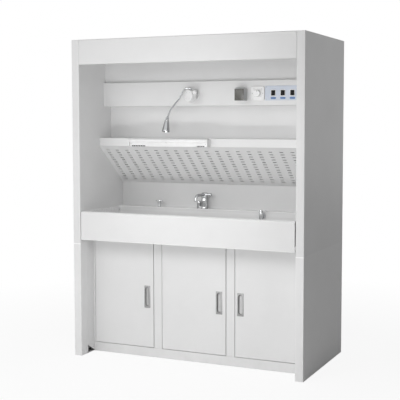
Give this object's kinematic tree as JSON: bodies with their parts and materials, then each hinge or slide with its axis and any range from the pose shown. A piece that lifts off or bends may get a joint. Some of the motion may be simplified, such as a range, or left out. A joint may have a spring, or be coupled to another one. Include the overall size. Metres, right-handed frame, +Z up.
{
  "type": "grossing workstation",
  "caption": "Ventilated grossing workstation: sink under a stepped back with slotted exhaust baffle, taps, lamps and controls, on a base cabinet with doors.",
  "frame": {"origin": "on the floor under the middle of the cabinet's footprint", "axes": "+X to the right as the user faces it, +Y to the back, +Z up"},
  "size_m": [1.5, 0.75, 1.99],
  "materials": {
    "powder_white": "off-white powder coat",
    "steel_sink": "brushed stainless steel",
    "steel_handle": "pressed stainless steel",
    "steel_pin": "bright steel",
    "chrome": "polished chrome",
    "zinc": "galvanised sheet",
    "white_plastic": "glossy white",
    "grey_plastic": "light grey",
    "diffuser": "opal",
    "smoke": "smoked clear plastic",
    "black_plastic": "glossy black",
    "panel_blue": "light blue print, bare of text",
    "pipe_plastic": "white pipe",
    "filter_media": "charcoal medium",
    "fan_plastic": "black",
    "lens": "clear"
  },
  "bodies": {
    "cabinet": {"upper_sides": "powder_white", "lower_sides": "powder_white", "chamber_liners": "powder_white", "cabinet_liners": "powder_white", "header_fascia": "powder_white", "roof_panel": "powder_white", "inner_back_panels": "powder_white", "control_band": "powder_white", "baffle_lip": "powder_white", "slotted_baffle": "powder_white", "lower_back_panel": "powder_white", "rear_covers": "powder_white", "frame_rails": "powder_white", "frame_uprights": "powder_white", "rinse_valve_body": "chrome", "cabinet_floor": "powder_white", "basin": "steel_sink", "front_apron": "powder_white", "drain_flange": "steel_sink", "waste_line": "pipe_plastic", "supply_pipes": "steel_pin", "hinge_pins": "steel_pin", "bar_lamp_body": "grey_plastic", "bar_lamp_tube": "diffuser", "lamp_mount": "white_plastic", "socket_box": "grey_plastic", "socket_insert": "white_plastic", "speed_plate": "white_plastic", "control_plate": "panel_blue", "switch_bodies": "white_plastic", "tap_body": "chrome", "sprayer_body": "chrome", "fan_housing": "zinc", "fan_motor": "fan_plastic", "filter_shelf": "powder_white", "filter_cassette": "filter_media", "exhaust_spigot": "zinc", "power_gland": "fan_plastic"},
    "drain_basket": {"drain_basket": "steel_sink"},
    "left_door": {"door_left": "powder_white", "handle_left": "steel_handle"},
    "middle_door": {"door_middle": "powder_white", "handle_middle": "steel_handle"},
    "right_door": {"door_right": "powder_white", "handle_right": "steel_handle"},
    "lamp_arm": {"lamp_drum": "white_plastic", "gooseneck": "chrome"},
    "lamp_knob": {"lamp_knob": "white_plastic"},
    "lamp_head": {"lamp_head": "chrome", "lamp_lens": "lens"},
    "socket_lid": {"socket_lid": "smoke"},
    "speed_knob": {"speed_knob": "white_plastic"},
    "rocker_left": {"rocker_left": "black_plastic"},
    "rocker_middle": {"rocker_middle": "black_plastic"},
    "rocker_right": {"rocker_right": "black_plastic"},
    "tap_spout": {"tap_spout": "chrome"},
    "tap_lever": {"tap_lever": "chrome"},
    "sprayer_lever": {"sprayer_lever": "chrome"},
    "rinse_bar": {"rinse_valve_bar": "chrome"},
    "fan_rotor": {"fan_impeller": "fan_plastic"}
  },
  "joints": [
    {"name": "left_door_hinge", "type": "hinge", "parent": "cabinet", "child": "left_door", "pos_m": [-0.681, -0.219, 0.387], "axis": [0, 0, -1], "range_deg": [0, 90]},
    {"name": "middle_door_hinge", "type": "hinge", "parent": "cabinet", "child": "middle_door", "pos_m": [-0.206, -0.219, 0.387], "axis": [0, 0, -1], "range_deg": [0, 100]},
    {"name": "right_door_hinge", "type": "hinge", "parent": "cabinet", "child": "right_door", "pos_m": [0.681, -0.219, 0.387], "axis": [0, 0, 1], "range_deg": [0, 90]},
    {"name": "basket_lift", "type": "slide", "parent": "cabinet", "child": "drain_basket", "axis": [0, 0, 1], "range_m": [0, 0.08]},
    {"name": "lamp_swivel", "type": "hinge", "parent": "cabinet", "child": "lamp_arm", "pos_m": [-0.05888, -0.10396, 1.611], "axis": [-0.4067, -0.9135, 0], "range_deg": [-60, 20]},
    {"name": "lamp_head_tilt", "type": "hinge", "parent": "lamp_arm", "child": "lamp_head", "pos_m": [-0.18314, -0.20551, 1.475], "axis": [1, 0, 0], "range_deg": [-20, 45]},
    {"name": "lamp_dimmer", "type": "hinge", "parent": "lamp_arm", "child": "lamp_knob", "pos_m": [-0.03661, -0.1361, 1.62803], "axis": [0.814, -0.3624, 0.454], "range_deg": [0, 270]},
    {"name": "socket_lid_hinge", "type": "hinge", "parent": "cabinet", "child": "socket_lid", "pos_m": [0.259, -0.118, 1.653], "axis": [-1, 0, 0], "range_deg": [0, 100]},
    {"name": "speed_control", "type": "hinge", "parent": "cabinet", "child": "speed_knob", "pos_m": [0.3595, -0.093, 1.621], "axis": [0, -1, 0], "range_deg": [0, 270]},
    {"name": "left_rocker_tilt", "type": "hinge", "parent": "cabinet", "child": "rocker_left", "pos_m": [0.4565, -0.083, 1.623], "axis": [1, 0, 0], "range_deg": [0, 14]},
    {"name": "middle_rocker_tilt", "type": "hinge", "parent": "cabinet", "child": "rocker_middle", "pos_m": [0.516, -0.083, 1.623], "axis": [1, 0, 0], "range_deg": [0, 14]},
    {"name": "right_rocker_tilt", "type": "hinge", "parent": "cabinet", "child": "rocker_right", "pos_m": [0.5755, -0.083, 1.623], "axis": [1, 0, 0], "range_deg": [0, 14]},
    {"name": "spout_swing", "type": "hinge", "parent": "cabinet", "child": "tap_spout", "pos_m": [-0.084, 0.116, 0.99], "axis": [0, 0, 1], "range_deg": [-60, 25]},
    {"name": "tap_turn", "type": "hinge", "parent": "tap_spout", "child": "tap_lever", "pos_m": [-0.065, 0.116, 0.9913], "axis": [1, 0, 0], "range_deg": [0, 90]},
    {"name": "sprayer_turn", "type": "hinge", "parent": "cabinet", "child": "sprayer_lever", "pos_m": [0.325, 0.06, 0.905], "axis": [0, 0, -1], "range_deg": [0, 90]},
    {"name": "rinse_turn", "type": "hinge", "parent": "cabinet", "child": "rinse_bar", "pos_m": [-0.408, 0.116, 0.94], "axis": [0, 0, 1], "range_deg": [0, 90]},
    {"name": "fan_spin", "type": "hinge", "parent": "cabinet", "child": "fan_rotor", "pos_m": [0, 0.15, 1.89], "axis": [0, 0, 1], "continuous": true}
  ]
}
